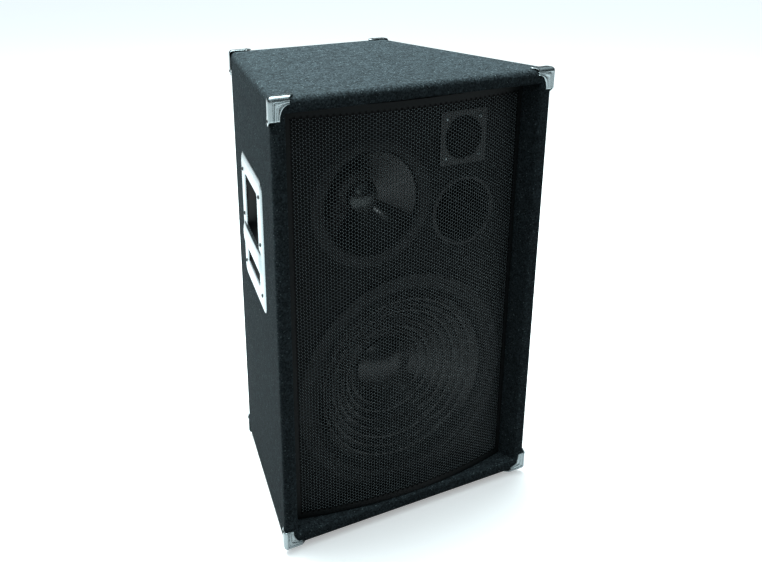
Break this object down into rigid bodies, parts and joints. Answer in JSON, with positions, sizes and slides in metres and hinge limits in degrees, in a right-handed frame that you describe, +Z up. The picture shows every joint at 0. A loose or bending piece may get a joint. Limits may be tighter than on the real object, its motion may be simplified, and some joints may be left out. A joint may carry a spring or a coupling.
{
  "type": "pa speaker cabinet",
  "caption": "Trapezoid carpeted loudspeaker cabinet with a bowed perforated grille, woofer, midrange, horn tweeter, port, steel corners and side handles.",
  "frame": {"origin": "on the floor under the middle of the cabinet, at the bottom centre of its bounding box", "axes": "+X to the right as the listener sees it, +Y from the grille to the back, +Z up"},
  "size_m": [0.4794, 0.3738, 0.7424],
  "materials": {
    "carpet_felt": "needle-punched black carpet felt, grey lint fibres",
    "particle_board": "raw particle board",
    "baffle_paint": "particle board brushed with matt black paint",
    "zinc_plated_steel": "bright zinc plated pressed steel",
    "black_steel": "satin black powder coat",
    "bare_steel": "bare machined steel",
    "black_plastic": "black moulded plastic, fine grain",
    "pressed_paper": "pressed paper pulp, black",
    "doped_cloth": "doped woven cloth",
    "ferrite": "sintered ferrite",
    "enamelled_copper": "enamelled copper winding",
    "circuit_board": "green solder mask",
    "capacitor_sleeve": "glossy plastic sleeve",
    "rubber": "moulded black rubber",
    "damping_wool": "off-white polyester wool",
    "cable_sleeve": "red PVC insulation"
  },
  "bodies": {
    "cabinet": {"top_panel": "particle_board", "bottom_panel": "particle_board", "left_side_panel": "particle_board", "right_side_panel": "particle_board", "back_panel": "particle_board", "front_baffle": "baffle_paint", "baffle_batten_left": "particle_board", "baffle_batten_right": "particle_board", "cross_brace": "particle_board", "carpet_cover": "carpet_felt", "grille": "black_steel", "grille_rail_left": "black_plastic", "grille_rail_right": "black_plastic", "woofer_frame": "black_steel", "woofer_gasket": "rubber", "woofer_surround": "doped_cloth", "woofer_spider": "doped_cloth", "woofer_top_plate": "bare_steel", "woofer_magnet": "ferrite", "woofer_pole_plate": "bare_steel", "mid_frame": "black_steel", "mid_surround": "doped_cloth", "mid_magnet": "ferrite", "mid_back_chamber": "black_plastic", "tweeter_horn": "black_plastic", "tweeter_piezo_driver": "black_plastic", "port_tube": "black_plastic", "crossover_board": "circuit_board", "crossover_coil_low": "enamelled_copper", "crossover_coil_high": "enamelled_copper", "crossover_capacitor": "capacitor_sleeve", "woofer_lead": "cable_sleeve", "damping_pad": "damping_wool", "terminal_dish": "black_plastic", "jack_socket_left": "bare_steel", "jack_socket_right": "bare_steel", "pole_mount": "black_steel", "handle_plate_left": "zinc_plated_steel", "handle_dish_left": "black_plastic", "foot_front_left": "rubber", "corner_front_top_left": "zinc_plated_steel", "corner_front_bottom_left": "zinc_plated_steel", "foot_back_left": "rubber", "corner_back_top_left": "zinc_plated_steel", "corner_back_bottom_left": "zinc_plated_steel", "handle_plate_right": "zinc_plated_steel", "handle_dish_right": "black_plastic", "foot_front_right": "rubber", "corner_front_top_right": "zinc_plated_steel", "corner_front_bottom_right": "zinc_plated_steel", "foot_back_right": "rubber", "corner_back_top_right": "zinc_plated_steel", "corner_back_bottom_right": "zinc_plated_steel"},
    "woofer_moving_assembly": {"woofer_cone": "pressed_paper", "woofer_dust_cap": "pressed_paper", "woofer_voice_coil": "enamelled_copper"},
    "mid_moving_assembly": {"mid_cone": "pressed_paper", "mid_dust_cap": "bare_steel", "mid_voice_coil": "enamelled_copper"}
  },
  "joints": [
    {"name": "woofer_cone_travel", "type": "slide", "parent": "cabinet", "child": "woofer_moving_assembly", "axis": [0, -1, 0], "range_m": [-0.005, 0.005], "stiffness_N_per_m": 2500, "deforming": ["woofer_surround", "woofer_spider"]},
    {"name": "mid_cone_travel", "type": "slide", "parent": "cabinet", "child": "mid_moving_assembly", "axis": [0, -1, 0], "range_m": [-0.0015, 0.0015], "stiffness_N_per_m": 2000, "deforming": ["mid_surround"]}
  ]
}
